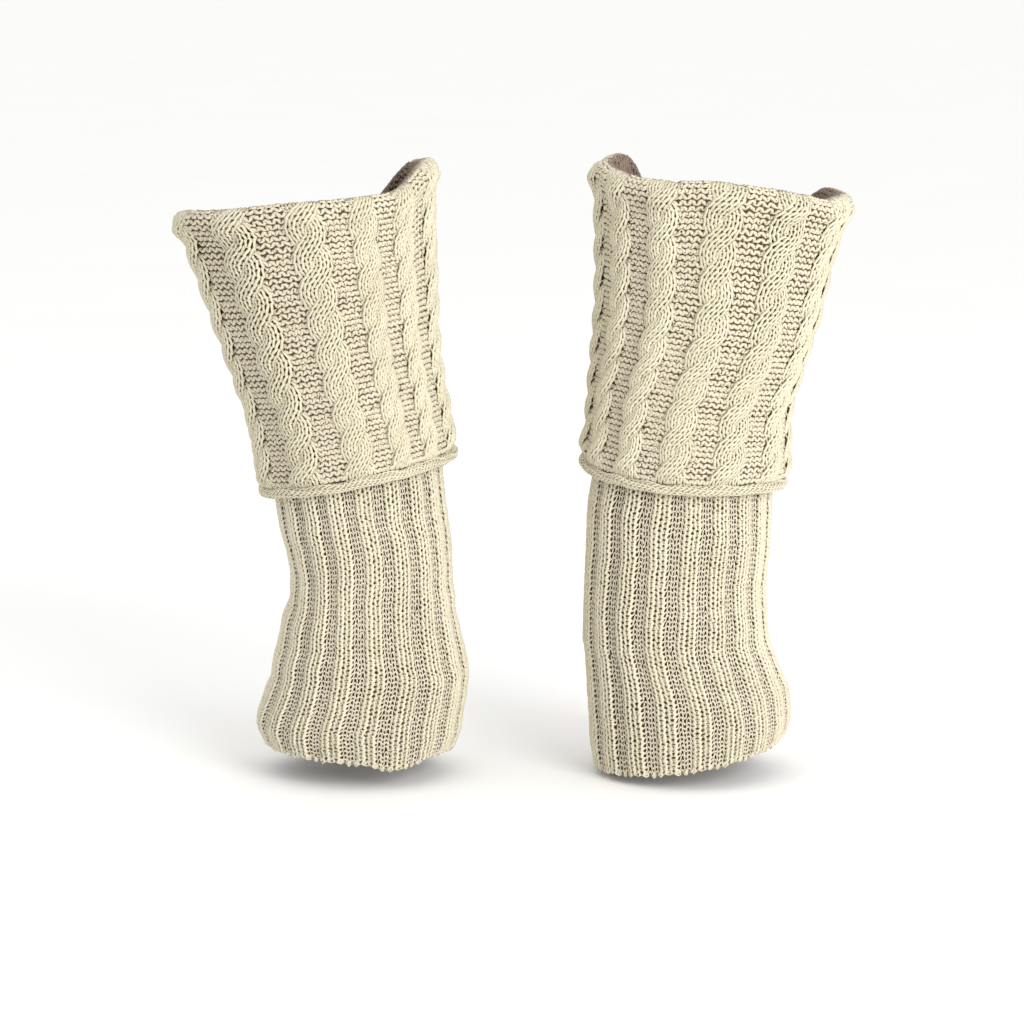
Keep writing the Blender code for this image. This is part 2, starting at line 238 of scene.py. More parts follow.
LEFT = Warmer(
    name="left",
    tube=[
        Ring(0.0, -93.0, 0.0, 58.0, 57.0, 0.0),
        Ring(14.0, -93.4, 0.0, 62.6, 58.5, 0.0),
        Ring(34.0, -89.4, 0.0, 61.5, 58.0, 0.0),
        Ring(52.0, -86.4, 0.0, 59.6, 56.5, 0.0),
        Ring(70.0, -86.4, 0.0, 55.4, 54.0, 1.0),
        Ring(89.0, -85.8, 0.0, 51.6, 52.0, 2.0),
        Ring(107.0, -85.5, 0.0, 49.2, 51.0, 3.5),
        Ring(125.0, -87.0, 0.0, 49.8, 51.0, 6.0),
        Ring(144.0, -90.6, 0.0, 50.8, 52.0, 9.0),
        Ring(161.0, -92.6, 0.0, 51.5, 52.5, 11.0),
    ],
    cuff=[
        Ring(169.0, -93.0, 0.0, 62.5, 62.0, 11.0),
        Ring(187.0, -95.4, 0.0, 61.4, 62.0, 11.0),
        Ring(211.0, -99.9, 0.0, 61.5, 62.5, 11.0),
        Ring(242.0, -106.5, 0.0, 64.5, 63.5, 11.0),
        Ring(272.0, -111.7, 0.0, 69.5, 65.5, 11.0),
        Ring(303.0, -117.2, 0.0, 74.8, 68.0, 11.0),
        Ring(322.0, -120.6, 0.0, 78.4, 69.5, 11.0),
        Ring(335.0, -123.0, 0.0, 80.2, 70.0, 11.0),
    ],
    rim=[
        Lift(-160.0, -16.0),
        Lift(-135.0, -9.0),
        Lift(-110.0, -0.5),
        Lift(-88.0, 3.0),
        Lift(-66.0, 4.8),
        Lift(-42.0, 3.2),
        Lift(-10.0, 1.0),
        Lift(18.0, -3.2),
        Lift(36.0, -5.3),
        Lift(44.0, -5.8),
        Lift(51.0, -4.0),
        Lift(57.0, -1.2),
        Lift(64.0, 2.2),
        Lift(72.0, 4.8),
        Lift(80.0, 6.8),
        Lift(92.0, 6.6),
        Lift(104.0, 5.3),
        Lift(116.0, 5.2),
        Lift(125.0, 2.8),
        Lift(136.0, -4.4),
        Lift(149.0, -14.5),
        Lift(158.0, -17.0),
        Lift(180.0, -18.0),
    ],
    hem=[
        Lift(-150.0, 2.5),
        Lift(-90.0, 3.4),
        Lift(-40.0, 4.0),
        Lift(20.0, 4.2),
        Lift(60.0, 4.0),
        Lift(95.0, 3.4),
        Lift(150.0, 2.5),
    ],
    foot=[
        Lift(-150.0, 0.0),
        Lift(-66.0, 4.0),
        Lift(-30.0, 3.0),
        Lift(0.0, 1.5),
        Lift(25.0, -3.0),
        Lift(55.0, 2.0),
        Lift(90.0, 1.0),
    ],
    creases=[
        Crease(-96.0, 94.0, 42.0, 5.0, -0.05, 1.5),
        Crease(-92.0, 82.0, 40.0, 5.0, -0.05, -0.8),
        Crease(-90.0, 44.0, 35.0, 4.5, 0.06, 1.0),
        Crease(95.0, 84.0, 40.0, 5.5, 0.05, 1.2),
        Crease(-20.0, 68.0, 50.0, 5.0, 0.06, 1.3),
        Crease(35.0, 58.0, 35.0, 5.0, -0.10, 1.0),
        Crease(-45.0, 112.0, 30.0, 6.0, 0.10, 0.9),
        Crease(60.0, 100.0, 30.0, 7.0, -0.05, 0.9),
        Crease(150.0, 75.0, 45.0, 6.0, 0.05, 1.2),
        Crease(-140.0, 60.0, 40.0, 6.0, -0.07, 1.1),
        Crease(-160.0, 120.0, 35.0, 7.0, 0.04, 1.0),
    ],
    twists=[
        Twist(169.0, 5.0),
        Twist(198.0, 4.8),
        Twist(238.0, 3.0),
        Twist(304.0, 0.8),
        Twist(335.0, 0.8),
    ],
    spread_cables=0.28,
    spread_ribs=0.0,
    phase=0.4,
)

RIGHT = Warmer(
    name="right",
    tube=[
        Ring(-1.0, 107.0, 0.0, 59.0, 57.0, 6.5),
        Ring(14.0, 107.4, 0.0, 61.4, 58.5, 4.0),
        Ring(34.0, 106.2, 0.0, 61.2, 58.0, 2.0),
        Ring(52.0, 102.3, 0.0, 58.6, 57.0, 0.0),
        Ring(70.0, 98.4, 0.0, 56.4, 55.5, 0.0),
        Ring(89.0, 97.8, 0.0, 55.3, 54.5, 0.0),
        Ring(107.0, 98.1, 0.0, 55.0, 54.0, -1.0),
        Ring(125.0, 99.3, 0.0, 55.4, 54.0, -2.5),
        Ring(144.0, 100.2, 0.0, 55.6, 54.0, -4.0),
        Ring(159.0, 101.4, 0.0, 54.4, 53.5, -6.0),
    ],
    cuff=[
        Ring(169.0, 102.0, 0.0, 64.4, 62.5, -6.0),
        Ring(187.0, 104.3, 0.0, 61.8, 62.0, -7.0),
        Ring(211.0, 105.6, 0.0, 61.2, 62.5, -8.0),
        Ring(242.0, 111.0, 0.0, 64.2, 63.5, -8.6),
        Ring(272.0, 116.1, 0.0, 68.0, 65.5, -8.6),
        Ring(303.0, 119.4, 0.0, 71.8, 68.0, -8.6),
        Ring(326.0, 122.4, 0.0, 76.0, 69.5, -8.8),
        Ring(340.0, 123.9, 0.0, 78.0, 70.0, -8.8),
    ],
    rim=[
        Lift(-165.0, -14.0),
        Lift(-150.0, -13.0),
        Lift(-141.0, -8.5),
        Lift(-129.0, 4.6),
        Lift(-124.0, 6.6),
        Lift(-114.0, 5.4),
        Lift(-107.0, 2.0),
        Lift(-92.0, 2.2),
        Lift(-80.0, 4.0),
        Lift(-73.0, 3.6),
        Lift(-66.0, 1.4),
        Lift(-50.0, 0.2),
        Lift(-32.0, 0.5),
        Lift(-8.0, 5.2),
        Lift(15.0, 6.0),
        Lift(38.0, 4.8),
        Lift(55.0, 3.0),
        Lift(72.0, 6.0),
        Lift(90.0, 6.0),
        Lift(104.0, 6.3),
        Lift(111.0, 6.7),
        Lift(117.0, 5.4),
        Lift(128.0, -2.2),
        Lift(138.0, -6.0),
        Lift(146.0, -9.0),
        Lift(180.0, -13.5),
    ],
    hem=[
        Lift(-140.0, 2.0),
        Lift(-92.0, 3.6),
        Lift(-60.0, 1.0),
        Lift(-25.0, 0.0),
        Lift(12.0, 1.2),
        Lift(45.0, 3.6),
        Lift(85.0, 3.6),
        Lift(140.0, 2.0),
    ],
    foot=[
        Lift(-150.0, 0.0),
        Lift(-66.0, -3.5),
        Lift(-25.0, -3.0),
        Lift(10.0, -1.5),
        Lift(45.0, 1.0),
        Lift(75.0, 3.0),
        Lift(110.0, 1.0),
    ],
    creases=[
        Crease(25.0, 72.0, 45.0, 5.0, -0.06, 1.2),
        Crease(-40.0, 60.0, 30.0, 5.0, 0.08, 0.9),
        Crease(50.0, 104.0, 30.0, 6.0, -0.10, 0.8),
        Crease(-30.0, 118.0, 35.0, 7.0, 0.05, 0.8),
        Crease(155.0, 78.0, 45.0, 6.0, 0.05, 1.2),
        Crease(-145.0, 62.0, 40.0, 6.0, -0.07, 1.0),
        Crease(170.0, 125.0, 35.0, 7.0, 0.04, 1.0),
    ],
    twists=[
        Twist(169.0, -10.0),
        Twist(192.0, -8.5),
        Twist(218.0, -6.0),
        Twist(238.0, -2.5),
        Twist(263.0, -0.3),
        Twist(304.0, -1.0),
        Twist(340.0, -1.0),
    ],
    spread_cables=-0.1,
    spread_ribs=0.05,
    phase=2.1,
)

# A knit stitch shows its two legs in front, as a V; its head and foot are tucked behind
KNIT = [
    Turn(-0.50, -0.92, -0.80, 1.2),
    Turn(-0.16, -0.50, 0.25, 1.65),
    Turn(-0.34, 0.44, 0.25, 1.65),
    Turn(0.00, 0.92, -0.80, 1.2),
    Turn(0.34, 0.44, 0.25, 1.65),
    Turn(0.16, -0.50, 0.25, 1.65),
]
# Along the rolled edge the stitches are pulled sideways, so their legs slant more
SLACK_KNIT = [
    Turn(-0.50, -0.92, -0.90, 0.9),
    Turn(-0.08, -0.50, 0.30, 1.0),
    Turn(-0.43, 0.44, 0.30, 1.0),
    Turn(0.00, 0.92, -0.90, 0.9),
    Turn(0.43, 0.44, 0.30, 1.0),
    Turn(0.08, -0.50, 0.30, 1.0),
]
# A purl stitch is the same loop seen from behind: its head and foot bow out in front, past
# those of the next courses, and leave small staggered holes
PURL = [
    Turn(-0.50, -0.70, 0.60, 0.98),
    Turn(-0.30, -0.45, 0.10, 0.78),
    Turn(-0.20, 0.45, 0.10, 0.78),
    Turn(0.00, 0.70, 0.60, 0.98),
    Turn(0.20, 0.45, 0.10, 0.78),
    Turn(0.30, -0.45, 0.10, 0.78),
]
# Between the cables the knitting is stretched wide, so that the loops bow less
WIDE_PURL = [
    Turn(-0.50, -0.32, 0.50, 0.95),
    Turn(-0.31, -0.14, -0.10, 2.25),
    Turn(-0.19, 0.14, -0.10, 2.25),
    Turn(0.00, 0.32, 0.50, 0.95),
    Turn(0.19, 0.14, -0.10, 2.25),
    Turn(0.31, -0.14, -0.10, 2.25),
]


def smooth_between(knots, values, at):
    """A curve through the rows of a table that never swings past them."""
    knots = np.asarray(knots, float)
    values = np.asarray(values, float)
    run = np.diff(knots)
    slope = np.diff(values) / run
    before = slope[:-1]
    after = slope[1:]
    same_way = before * after > 0.0
    total = np.where(same_way, before + after, 1.0)
    inner = np.where(same_way, 2.0 * before * after / total, 0.0)
    tangent = np.concatenate((slope[:1], inner, slope[-1:]))
    at = np.clip(at, knots[0], knots[-1])
    row = np.clip(np.searchsorted(knots, at) - 1, 0, len(run) - 1)
    t = (at - knots[row]) / run[row]
    return (
        (2.0 * t**3 - 3.0 * t**2 + 1.0) * values[row]
        + (t**3 - 2.0 * t**2 + t) * run[row] * tangent[row]
        + (3.0 * t**2 - 2.0 * t**3) * values[row + 1]
        + (t**3 - t**2) * run[row] * tangent[row + 1]
    )


def edge_lift(lifts, angle):
    """How far an edge stands up at each angle, read smoothly all round."""
    turns = (-360.0, 0.0, 360.0)
    angles = [lift.angle + turn for turn in turns for lift in lifts]
    rises = [lift.rise for turn in turns for lift in lifts]
    return smooth_between(angles, rises, (angle + 180.0) % 360.0 - 180.0)


def ease(share):
    share = np.clip(share, 0.0, 1.0)
    return share * share * (3.0 - 2.0 * share)


def rim_height(warmer):
    """Height of the fold's centre line, under the top of the roll."""
    return warmer.cuff[-1].height - FOLD_RADIUS


def tube_form(warmer):
    """The tube's rings: its own below the hem, and close behind the cuff above it."""
    rings = list(warmer.tube)
    hem = warmer.cuff[0].height
    for ring in warmer.cuff:
        if ring.height > hem + TUBE_CLEAR_ABOVE_HEM:
            rings.append(ring._replace(
                half_width=ring.half_width - TUBE_BEHIND_CUFF,
                half_depth=ring.half_depth - TUBE_BEHIND_CUFF,
            ))
    return rings


def rise_at(warmer, height, angle):
    """The rim's ears and dips fade away down the cuff, and the foot's up the tube."""
    rim_share = ease((height - rim_height(warmer) + LIFT_REACH) / LIFT_REACH)
    foot_share = 1.0 - ease((height - warmer.tube[0].height) / FOOT_REACH)
    return rim_share * edge_lift(warmer.rim, angle) + foot_share * edge_lift(warmer.foot, angle)


def hem_rise(warmer, height, angle):
    """The hem rides up unevenly, which fades away up the cuff."""
    share = 1.0 - ease((height - warmer.cuff[0].height) / HEM_REACH)
    return share * edge_lift(warmer.hem, angle)


def on_form(warmer, rings, height, angle, out, rise=0.0):
    """Points on the form, moved out from it and along its own axis, in metres."""
    heights = [ring.height for ring in rings]
    middle_x, middle_y, half_width, half_depth, tip = (
        smooth_between(heights, [ring[column] for ring in rings], height)
        for column in range(1, 6)
    )
    rise = rise + rise_at(warmer, height, angle)
    tip = np.radians(tip)
    side = np.sin(np.radians(angle))
    front = np.cos(np.radians(angle))
    reach = np.hypot(side / half_width, front / half_depth)
    across = half_width * side + out * side / half_width / reach
    back = -half_depth * front - out * front / half_depth / reach
    points = (
        middle_x + across * np.cos(tip) - rise * np.sin(tip),
        middle_y + back,
        height + across * np.sin(tip) + rise * np.cos(tip) - ORIGIN_HEIGHT,
    )
    return np.stack(points, axis=-1) * MM


def spread(share, amount):
    """The angle of a stitch column, with the columns closer together beside the inner leg."""
    turn = 2.0 * np.pi * share
    return np.degrees(turn - amount * np.sin(turn) ** 2)


def crease_depth(warmer, angle, height):
    """How far the wall sinks in at its soft creases."""
    depth = np.zeros(np.broadcast(angle, height).shape)
    for crease in warmer.creases:
        away = (angle - crease.angle + 180.0) % 360.0 - 180.0
        above = height - crease.height - crease.slant * away
        depth += crease.depth * np.exp(
            -(away / crease.reach_round) ** 2 - (above / crease.reach_up) ** 2
        )
    return depth


def wander(warmer, share, height):
    """The degrees that a column of stitches strays to one side."""
    turn = 2.0 * np.pi * share
    slow = SLOW_STRAY.degrees * np.sin(
        height / SLOW_STRAY.run + 2.0 * np.sin(turn) + warmer.phase
    )
    quick = QUICK_STRAY.degrees * np.sin(
        height / QUICK_STRAY.run + 3.0 * turn + 2.0 * warmer.phase
    )
    short = SHORT_STRAY.degrees * np.sin(
        height / SHORT_STRAY.run + 2.5 * np.sin(2.0 * turn) + 3.0 * warmer.phase
    )
    return slow + quick + short * np.sin(height / SHORT_STRAY_FADE + turn) ** 2


def on_tube(warmer, share, height, out):
    """Points on the ribbed tube: share round, height, and out from the crest of the ribs."""
    # The knit columns are broader than the purl between them
    share = share - KNIT_SPREAD * np.cos(2.0 * np.pi * share * RIBS_ROUND) / RIBS_ROUND
    angle = spread(share, warmer.spread_ribs) + wander(warmer, share, height)
    foot = warmer.tube[0].height
    fade = 1.0 - ease((height - foot) / SCALLOP_REACH)
    scallop = SCALLOP * np.sin(2.0 * np.pi * share * RIBS_ROUND) * fade
    out = out - crease_depth(warmer, angle, height)
    return on_form(warmer, tube_form(warmer), height, angle, out, scallop)


def on_cuff(warmer, share, along, out):
    """Points on the cuff: share round, along from the hem and over the fold, and out."""
    hem = warmer.cuff[0].height
    fold = rim_height(warmer)
    past = hem + along - fold
    turn = np.clip(past / FOLD_RADIUS, 0.0, np.pi)
    down = np.maximum(past - np.pi * FOLD_RADIUS, 0.0)
    bent = FOLD_RADIUS + out
    height = np.where(past < 0.0, hem + along, fold + bent * np.sin(turn) - down)
    away = np.where(past < 0.0, out, bent * np.cos(turn) - FOLD_RADIUS)
    heights = [twist.height for twist in warmer.twists]
    turns = [twist.turn for twist in warmer.twists]
    angle = spread(share, warmer.spread_cables) + smooth_between(heights, turns, height)
    angle = angle + CUFF_STRAY * wander(warmer, share, height)
    rise = hem_rise(warmer, height, angle)
    return on_form(warmer, warmer.cuff, height, angle, away, rise)


def rib_relief(share):
    """From 0 in the purl to 1 on the knit columns."""
    return np.clip(0.5 + RIB_SLOPE * np.sin(2.0 * np.pi * share * RIBS_ROUND), 0.0, 1.0)


def cuff_length(warmer):
    return rim_height(warmer) - warmer.cuff[0].height + np.pi * FOLD_RADIUS + LIP_DROP


def ground(warmer, along):
    """The purl ground between the cables, which comes up to meet the fold."""
    below_fold = rim_height(warmer) - warmer.cuff[0].height - along
    return -CABLE_RAISE * ease(below_fold / FOLD_FADE)


def cable_fade(warmer, along):
    """The cables lie flatter at the hem and over the fold."""
    below_fold = rim_height(warmer) - warmer.cuff[0].height - along
    at_hem = ease(along / CABLE_FADE + FADE_START_AT_HEM)
    at_fold = ease(below_fold / CABLE_FADE + FADE_START_AT_FOLD)
    return at_hem * (CABLE_LEFT_ON_FOLD + (1.0 - CABLE_LEFT_ON_FOLD) * at_fold)


def crossing_at(along):
    """How far on the cable is in its present crossing, from 0 to 1."""
    return (along / CROSSING_HEIGHT) % 1.0


def strand_middle(crossing, over):
    """Where the middle of a strand lies across its cable, from 0 to 1."""
    swung = ease((crossing - CROSSING_PAUSE) / (1.0 - 2.0 * CROSSING_PAUSE))
    swing = (1.0 - STRAND_SHARE) * swung
    start = 0.5 * STRAND_SHARE
    return start + swing if over else 1.0 - start - swing


def crossing_waist(crossing):
    """How much narrower the cable is on each side, as a share of its width."""
    return CROSSING_WAIST * np.sin(np.pi * crossing) ** 2


def strand_relief(crossing, off_middle, over):
    bulge = CABLE_OVER_RAISE * np.sin(np.pi * crossing)
    height = CABLE_RAISE + (bulge if over else -bulge)
    return height - CABLE_ROUNDING * off_middle**2


def unit(vectors):
    return vectors / np.maximum(np.linalg.norm(vectors, axis=-1, keepdims=True), 1e-9)


def make_object(name, points, quads, triangles, corner_uv, marks):
    """One smooth mesh object at the origin, with its UVs and its point attributes."""
    mesh = bpy.data.meshes.new(name)
    mesh.vertices.add(len(points))
    mesh.vertices.foreach_set("co", points.astype(np.float32).ravel())
    corners = np.concatenate((quads.ravel(), triangles.ravel())).astype(np.int32)
    quad_starts = np.arange(len(quads)) * 4
    triangle_starts = quads.size + np.arange(len(triangles)) * 3
    starts = np.concatenate((quad_starts, triangle_starts)).astype(np.int32)
    mesh.loops.add(len(corners))
    mesh.loops.foreach_set("vertex_index", corners)
    mesh.polygons.add(len(starts))
    mesh.polygons.foreach_set("loop_start", starts)
    mesh.update(calc_edges=True)
    layer = mesh.uv_layers.new(name="UVMap")
    layer.data.foreach_set("uv", corner_uv.astype(np.float32).ravel())
    for mark, values in marks.items():
        attribute = mesh.attributes.new(mark, "FLOAT", "POINT")
        attribute.data.foreach_set("value", values.astype(np.float32).ravel())
    mesh.shade_smooth()
    piece = bpy.data.objects.new(name, mesh)
    bpy.context.scene.collection.objects.link(piece)
    return piece


def yarn(name, paths, outward, radius, closed, marks):
    """Strands of yarn along paths of equal length: three-sided, with a ridge that faces out."""
    strands, points_each = paths.shape[:2]
    if closed:
        ahead = np.roll(paths, -1, axis=1)
        behind = np.roll(paths, 1, axis=1)
    else:
        ahead = np.concatenate((paths[:, 1:], paths[:, -1:]), axis=1)
        behind = np.concatenate((paths[:, :1], paths[:, :-1]), axis=1)
    run = unit(ahead - behind)
    side = unit(np.cross(run, outward))
    ridge = np.cross(side, run)
    thickness = np.broadcast_to(radius * MM, paths.shape[:2])[..., None]
    corners = []
    for corner in range(3):
        turn = 2.0 * math.pi * corner / 3.0
        raised = ridge * (YARN_FLATNESS * math.cos(turn))
        corners.append(paths + thickness * (raised + side * math.sin(turn)))
    points = np.stack(corners, axis=2).reshape(-1, 3)

    segments = points_each if closed else points_each - 1
    first = np.arange(segments)
    second = (first + 1) % points_each
    strand = np.arange(strands)[:, None, None] * points_each
    corner = np.arange(3)[None, None, :]
    following = (corner + 1) % 3
    near = (strand + first[None, :, None]) * 3
    far = (strand + second[None, :, None]) * 3
    quads = np.stack(
        (near + corner, far + corner, far + following, near + following), axis=-1
    ).reshape(-1, 4)
    if closed:
        triangles = np.zeros((0, 3), int)
    else:
        start = (np.arange(strands) * points_each * 3)[:, None]
        end = start + (points_each - 1) * 3
        triangles = np.concatenate((start + [0, 1, 2], end + [0, 2, 1]))

    lengths = np.linalg.norm(ahead - paths, axis=-1)
    reached = np.concatenate((np.zeros((strands, 1)), np.cumsum(lengths, axis=1)), axis=1) / MM
    u_near = np.broadcast_to(reached[:, :segments, None], (strands, segments, 3))
    u_far = np.broadcast_to(reached[:, 1 : segments + 1, None], (strands, segments, 3))
    v_near = np.broadcast_to(corner / 3.0, u_near.shape)
    v_far = v_near + 1.0 / 3.0
    quad_uv = np.stack((u_near, v_near, u_far, v_near, u_far, v_far, u_near, v_far), axis=-1)
    cap_uv = np.zeros((triangles.size, 2))
    corner_uv = np.concatenate((quad_uv.reshape(-1, 2), cap_uv))
    spread_marks = {
        mark: np.repeat(np.broadcast_to(values, paths.shape[:2]).ravel(), 3)
        for mark, values in marks.items()
    }
    return make_object(name, points, quads, triangles, corner_uv, spread_marks)


def outward_of(place_at, warmer, share, along, out):
    """The paths through a mapping, and the direction that faces out of the fabric there."""
    paths = place_at(warmer, share, along, out)
    return paths, unit(place_at(warmer, share, along, out + OUTWARD_STEP) - paths)


def turns_of(table):
    return (np.array([getattr(turn, field) for turn in table]) for field in Turn._fields)


def rib_yarn(warmer):
    """The visible courses of the ribbed tube, from the cast-on edge to just behind the hem."""
    stitches = RIB_STITCHES_ROUND
    knit_across, knit_up, knit_out, knit_thick = turns_of(KNIT)
    purl_across, purl_up, purl_out, purl_thick = turns_of(PURL)
    is_purl = (np.arange(stitches) % STITCHES_PER_RIB >= 2)[:, None]
    across = np.where(is_purl, purl_across, knit_across)
    up = np.where(is_purl, purl_up, knit_up)
    out = np.where(is_purl, purl_out, knit_out)
    thick = np.where(is_purl, purl_thick, knit_thick)

    course = np.arange(RIB_COURSES)
    spacing = FOOT_COURSE + (HEM_COURSE - FOOT_COURSE) * course / RIB_COURSES
    lowest = warmer.tube[0].height + FIRST_RIB_COURSE * FOOT_COURSE
    heights = lowest + np.cumsum(spacing) - spacing[0]
    shape = (RIB_COURSES, stitches, 1)
    height = heights[:, None, None] + spacing[:, None, None] * (
        up + random.normal(0.0, RIB_UNEVEN_UP, shape)
    )
    stray = random.normal(0.0, RIB_UNEVEN_ACROSS, shape)
    share = (np.arange(stitches)[:, None] + 0.5 + across + stray) / stitches
    relief = rib_relief(share)
    # The boundary loops go from behind the knit to in front of the purl
    boundary = np.isclose(across, KNIT[0].across)
    depth = np.where(boundary, 0.0, out)
    same_kind = (np.arange(stitches) % 2 == 1)[:, None]
    depth = np.where(boundary & same_kind, out, depth)
    base = -RIB_RAISE * (1.0 - relief) - RIB_YARN + np.where(is_purl, 0.0, -KNIT_SINK)
    lay = base + depth + random.normal(0.0, RIB_UNEVEN_OUT, shape)

    paths, outward = outward_of(on_tube, warmer, share, height, lay)
    flat = (RIB_COURSES, -1)
    marks = {
        "purl": np.broadcast_to(1.0 - relief, share.shape).reshape(flat),
        "deep": np.broadcast_to(-depth, share.shape).reshape(flat),
    }
    return yarn(
        warmer.name + "_rib_yarn",
        paths.reshape(RIB_COURSES, -1, 3),
        outward.reshape(RIB_COURSES, -1, 3),
        RIB_YARN * np.broadcast_to(thick, share.shape).reshape(flat),
        True,
        marks,
    )


def cuff_courses(warmer):
    """Where the cuff's courses lie, from the hem and over the fold."""
    count = int(cuff_length(warmer) / CUFF_COURSE)
    length = cuff_length(warmer) - SPARE_CUFF_COURSE
    return FIRST_CUFF_COURSE + (np.arange(count) + 0.5) * length / count


def cut_course(table, stitches, ends):
    """The turns of one piece of yarn across its stitches, with a tail at each end."""
    turn_across, turn_up, turn_out, turn_thick = turns_of(table)
    across = (np.arange(stitches)[:, None] + 0.5 + turn_across).ravel() / stitches
    across = np.concatenate(([-ends.past], across, [1.0, 1.0 + ends.past]))
    up = np.concatenate((turn_up[:1], np.tile(turn_up, stitches), turn_up[[0, 0]]))
    out = np.tile(turn_out, stitches)
    out = np.concatenate(([ends.tail_out], out, [ends.last_out, ends.tail_out]))
    thick = np.tile(turn_thick, stitches)
    thick = np.concatenate(([ends.tail_thick], thick, [ends.last_thick, ends.tail_thick]))
    return across, up, out, thick


def strand_yarn(warmer, over, courses):
    """All the courses of one kind of cable strand, each a short piece of yarn."""
    crossing = crossing_at(courses)
    if not over:
        # The passage under the other strand is out of sight
        apart = strand_middle(crossing, False) - strand_middle(crossing, True)
        courses = courses[np.abs(apart) > HIDDEN_BELOW]
        crossing = crossing_at(courses)
    across, up, out, thick = cut_course(KNIT, CABLE_STITCHES, STRAND_ENDS)
    across = across - 0.5
    out[1] = STRAND_ENDS.last_out

    phase = crossing[:, None, None]
    cable = np.arange(CABLES_ROUND)[None, :, None]
    shape = (len(courses), CABLES_ROUND, len(across))
    # The knitting runs from the fold down to the hem, so its loops are upside down here
    local = -CUFF_COURSE * up + random.normal(0.0, CABLE_UNEVEN_ALONG, shape)
    local_phase = np.clip(phase + local / CROSSING_HEIGHT, 0.0, 1.0)
    before = strand_middle(np.maximum(local_phase - LEAN_STEP, 0.0), over)
    after = strand_middle(np.minimum(local_phase + LEAN_STEP, 1.0), over)
    lean = np.arctan2((after - before) * CABLE_WIDTH, 2.0 * LEAN_STEP * CROSSING_HEIGHT)
    # Each course lies square to its strand, which keeps its width as it leans over
    off_middle = across * STRAND_SHARE
    place_across = strand_middle(local_phase, over) + off_middle * np.cos(lean)
    along = courses[:, None, None] + local - off_middle * CABLE_WIDTH * np.sin(lean)
    along = np.maximum(along, -LAST_LOOP_PAST_HEM)
    share = (cable - 0.5 * CABLE_SHARE + CABLE_SHARE * place_across) / CABLES_ROUND
    relief = cable_fade(warmer, along) * strand_relief(local_phase, off_middle, over)
    lay = ground(warmer, along) + relief - CUFF_YARN + out - KNIT_SINK
    return share, along, lay, out, thick


def purl_yarn(warmer, courses):
    """The purl courses between the cables, whose ends give way to the strands."""
    across, up, out, thick = cut_course(WIDE_PURL, PURL_STITCHES, PURL_ENDS)
    cable = np.arange(CABLES_ROUND)[None, :, None]
    shape = (len(courses), CABLES_ROUND, len(across))
    local = courses[:, None, None] - CUFF_COURSE * up
    local = local + random.normal(0.0, PURL_UNEVEN_ALONG, shape)
    local = np.maximum(local, -LAST_LOOP_PAST_HEM)
    # Where the strands cross, the cable is narrower and the purl spreads towards it
    narrower = crossing_waist(crossing_at(local))
    start = cable + CABLE_SHARE * (0.5 - narrower)
    end = cable + 1.0 - CABLE_SHARE * (0.5 - narrower)
    share = (start + (end - start) * across) / CABLES_ROUND
    hollow = PURL_HOLLOW * np.sin(np.pi * np.clip(across, 0.0, 1.0))
    lay = ground(warmer, local) + PURL_UP - hollow - CUFF_YARN + out
    return share, local, lay, out, thick


def inside_the_fold(warmer, along):
    """From 0 on the cuff's face to 1 past the crest of the fold."""
    past = warmer.cuff[0].height + along - rim_height(warmer)
    return ease((past / FOLD_RADIUS - INSIDE_START) / INSIDE_FADE)


def pieces_of_yarn(warmer, name, kinds, purl):
    """Join several kinds of courses, which may differ in their number of points."""
    made = []
    for share, along, lay, out, thick in kinds:
        paths, outward = outward_of(on_cuff, warmer, share, along, lay)
        points_each = share.shape[-1]
        paths = paths.reshape(-1, points_each, 3)
        marks = {
            "purl": np.full(paths.shape[:2], purl),
            "deep": np.broadcast_to(-out, share.shape).reshape(-1, points_each),
            "inside": inside_the_fold(warmer, along).reshape(-1, points_each),
        }
        outward = outward.reshape(-1, points_each, 3)
        made.append(yarn(name, paths, outward, CUFF_YARN * thick, False, marks))
    bpy.ops.object.select_all(action="DESELECT")
    for piece in made:
        piece.select_set(True)
    bpy.context.view_layer.objects.active = made[0]
    if len(made) > 1:
        bpy.ops.object.join()
    made[0].name = name
    made[0].data.name = name
    return made[0]


def grid_piece(name, loops, inside):
    """A closed thin shell: rings of points that go out, round the end and back inside."""
    rows, columns = loops.shape[:2]
    row = np.arange(rows)[:, None]
    column = np.arange(columns)[None, :]
    row_after = (row + 1) % rows
    column_after = (column + 1) % columns
    quads = np.stack(
        (
            row * columns + column,
            row * columns + column_after,
            row_after * columns + column_after,
            row_after * columns + column,
        ),
        axis=-1,
    ).reshape(-1, 4)
    u_near = np.broadcast_to(column / columns, (rows, columns))
    u_far = u_near + 1.0 / columns
    v_near = np.broadcast_to(row * 1.0, (rows, columns))
    v_far = v_near + 1.0
    uv = np.stack((u_near, v_near, u_far, v_near, u_far, v_far, u_near, v_far), axis=-1)
    marks = {"inside": np.repeat(inside, columns)}
    no_triangles = np.zeros((0, 3), int)
    return make_object(
        name, loops.reshape(-1, 3), quads, no_triangles, uv.reshape(-1, 2), marks
    )


